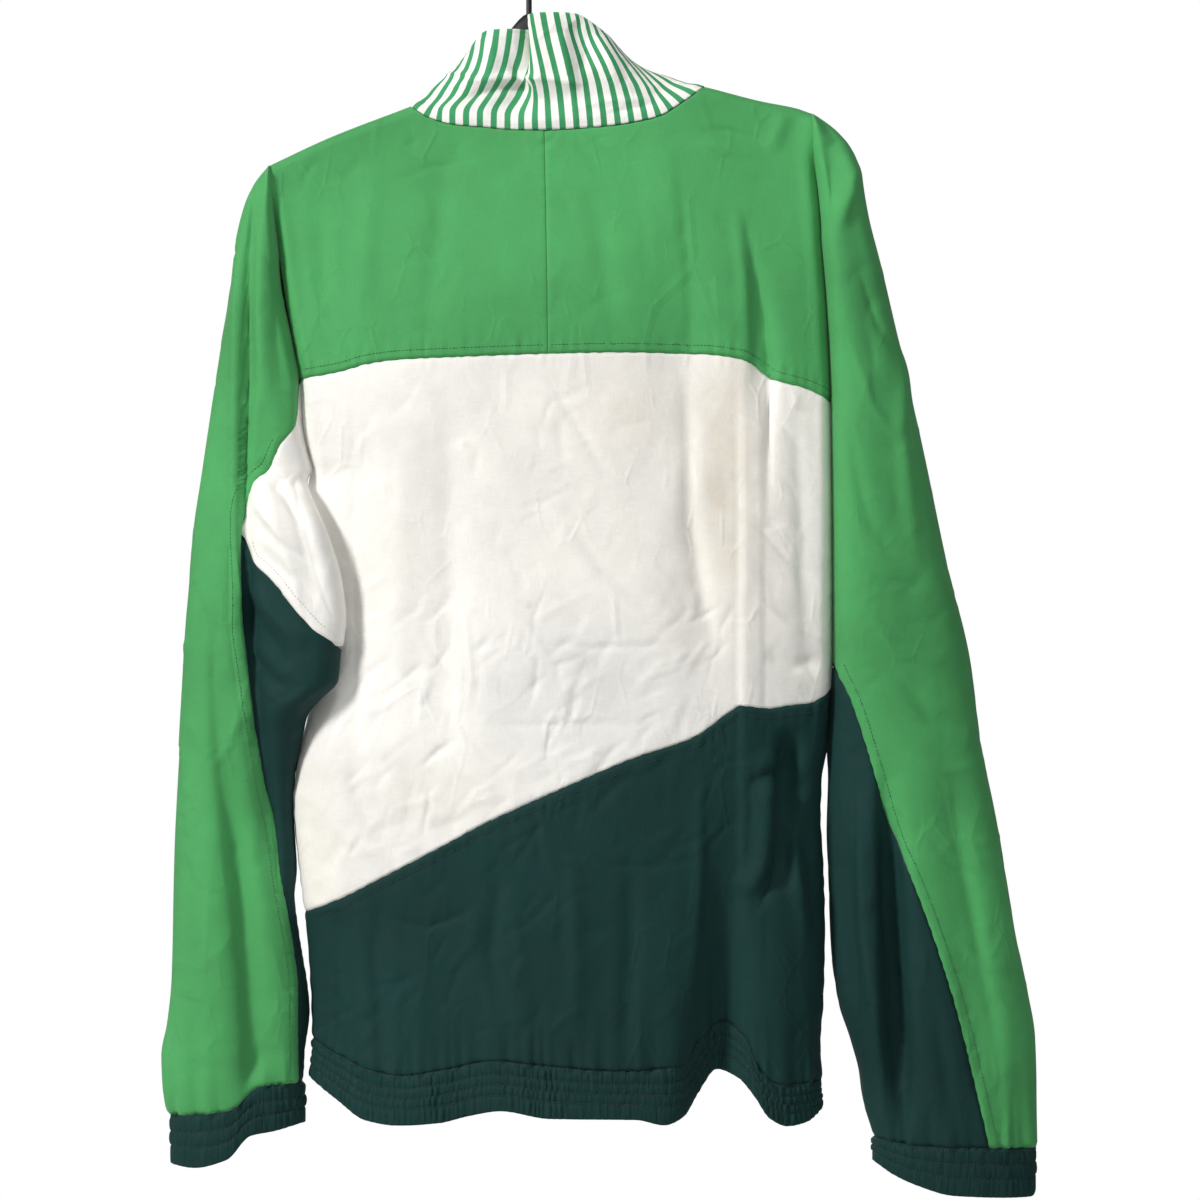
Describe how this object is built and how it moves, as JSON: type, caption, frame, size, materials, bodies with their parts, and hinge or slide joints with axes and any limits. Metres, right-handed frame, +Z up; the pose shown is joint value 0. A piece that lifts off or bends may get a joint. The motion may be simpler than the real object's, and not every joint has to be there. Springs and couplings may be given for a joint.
{
  "type": "track jacket",
  "caption": "Track jacket with stand collar, colour-blocked panels, elastic cuffs and hem, zipped closed and hanging on a coat hanger.",
  "frame": {"origin": "where the rod bears inside the top of the hanger's hook", "axes": "+Z up the hanging jacket, +X to the wearer's left, -Y out of the jacket's front, so +Y out of its back"},
  "size_m": [0.6209, 0.1136, 0.9089],
  "materials": {
    "light_green": "fine plain weave, slight sheen",
    "dark_green": "fine plain weave, slight sheen",
    "white": "fine plain weave, slight sheen",
    "stripe": "white weave with light green stripes",
    "zip_white": "moulded teeth on woven tape",
    "black_plastic": "satin",
    "black_metal": "satin black wire"
  },
  "bodies": {
    "jacket": {"collar": "stripe", "yoke_sleeve_left": "light_green", "yoke_sleeve_right": "light_green", "back_middle": "white", "back_lower": "dark_green", "front_middle_left": "white", "front_middle_right": "white", "front_lower_left": "dark_green", "front_lower_right": "dark_green", "under_sleeve_left": "dark_green", "under_sleeve_right": "dark_green", "cuff_left": "dark_green", "cuff_right": "dark_green", "hem_band": "dark_green", "zip_tape": "zip_white", "zip_slider": "zip_white", "hanger_body": "black_plastic", "hanger_hook": "black_metal"},
    "pull": {"zip_pull": "zip_white"}
  },
  "joints": [
    {"name": "pull_swing", "type": "hinge", "parent": "jacket", "child": "pull", "pos_m": [-0.01147, -0.05357, -0.14258], "axis": [-1, 0, 0], "range_deg": [0, 110]}
  ]
}
